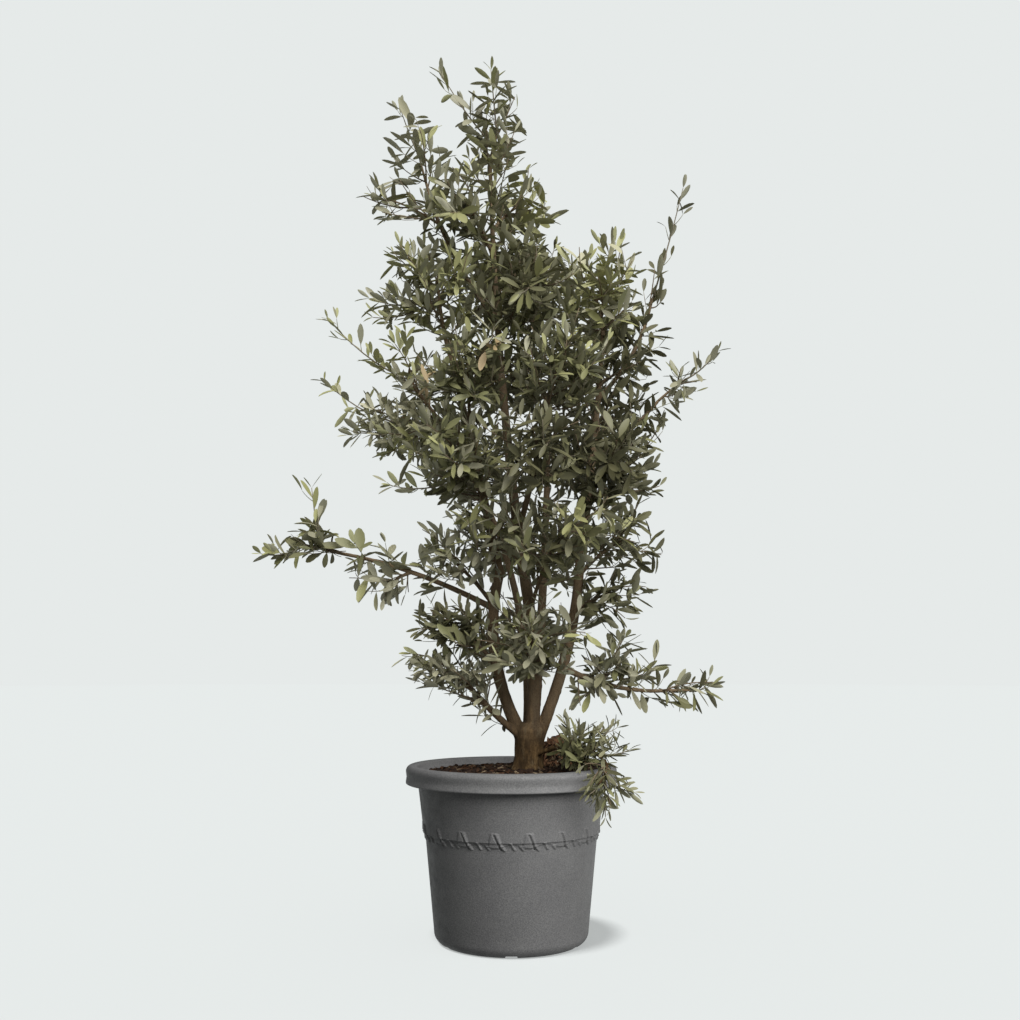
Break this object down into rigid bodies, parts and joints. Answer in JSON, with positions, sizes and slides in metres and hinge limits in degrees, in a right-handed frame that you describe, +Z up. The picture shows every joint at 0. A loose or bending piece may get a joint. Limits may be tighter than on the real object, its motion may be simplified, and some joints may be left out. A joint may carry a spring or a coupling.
{
  "type": "potted olive tree",
  "caption": "Bushy several-stemmed olive tree with narrow grey-green leaves, planted in a round grey plastic pot with a turned-down rim and a relief belt.",
  "frame": {"origin": "centre of the pot's flat underside", "axes": "+Z up along the pot's axis towards the crown, -Y towards the front, +X to the right seen from the front"},
  "size_m": [1.408, 0.8656, 2.637],
  "materials": {
    "grey_plastic": "matte, finely stippled",
    "bark_mulch": "rough, moist bark mulch over growing medium",
    "olive_bark": "rough, shallowly ridged bark",
    "olive_leaf": "satin upper side, silvery felted underside"
  },
  "bodies": {
    "root": {"pot": "grey_plastic", "growing_medium": "bark_mulch", "trunk": "olive_bark", "left_stem": "olive_bark", "centre_stem": "olive_bark", "right_stem": "olive_bark", "back_stem": "olive_bark", "back_left_stem": "olive_bark", "low_left_limb": "olive_bark", "spill_limb": "olive_bark", "upper_left_stem": "olive_bark", "upper_centre_stem": "olive_bark", "upper_right_stem": "olive_bark", "left_arm": "olive_bark", "low_right_arm": "olive_bark", "right_arm": "olive_bark", "spire_arm": "olive_bark", "left_shoulder_arm": "olive_bark", "top_left_arm": "olive_bark", "front_arm": "olive_bark", "crown_top": "olive_leaf", "upper_left_tuft": "olive_leaf", "left_tuft": "olive_leaf", "upper_front": "olive_leaf", "upper_right": "olive_leaf", "left_shoulder": "olive_leaf", "mid_upper_front": "olive_leaf", "mid_upper_back": "olive_leaf", "right_shoulder": "olive_leaf", "spire": "olive_leaf", "left_mid": "olive_leaf", "left_lower_mid": "olive_leaf", "front_left": "olive_leaf", "front_right": "olive_leaf", "right_mid": "olive_leaf", "right_arm_tuft": "olive_leaf", "back_upper": "olive_leaf", "low_front_left": "olive_leaf", "low_front_middle": "olive_leaf", "low_front_right": "olive_leaf", "low_right": "olive_leaf", "back_left": "olive_leaf", "back_right": "olive_leaf", "skirt_left": "olive_leaf", "skirt_front": "olive_leaf", "skirt_right": "olive_leaf", "skirt_back": "olive_leaf", "left_heart": "olive_leaf", "left_arm_tip": "olive_leaf", "left_arm_mid": "olive_leaf", "low_left": "olive_leaf", "base_left": "olive_leaf", "low_front": "olive_leaf", "low_right_heart": "olive_leaf", "right_arm_mid": "olive_leaf", "right_arm_tip": "olive_leaf", "low_back": "olive_leaf", "spill_foot": "olive_leaf", "spill_tip": "olive_leaf"}
  },
  "joints": []
}
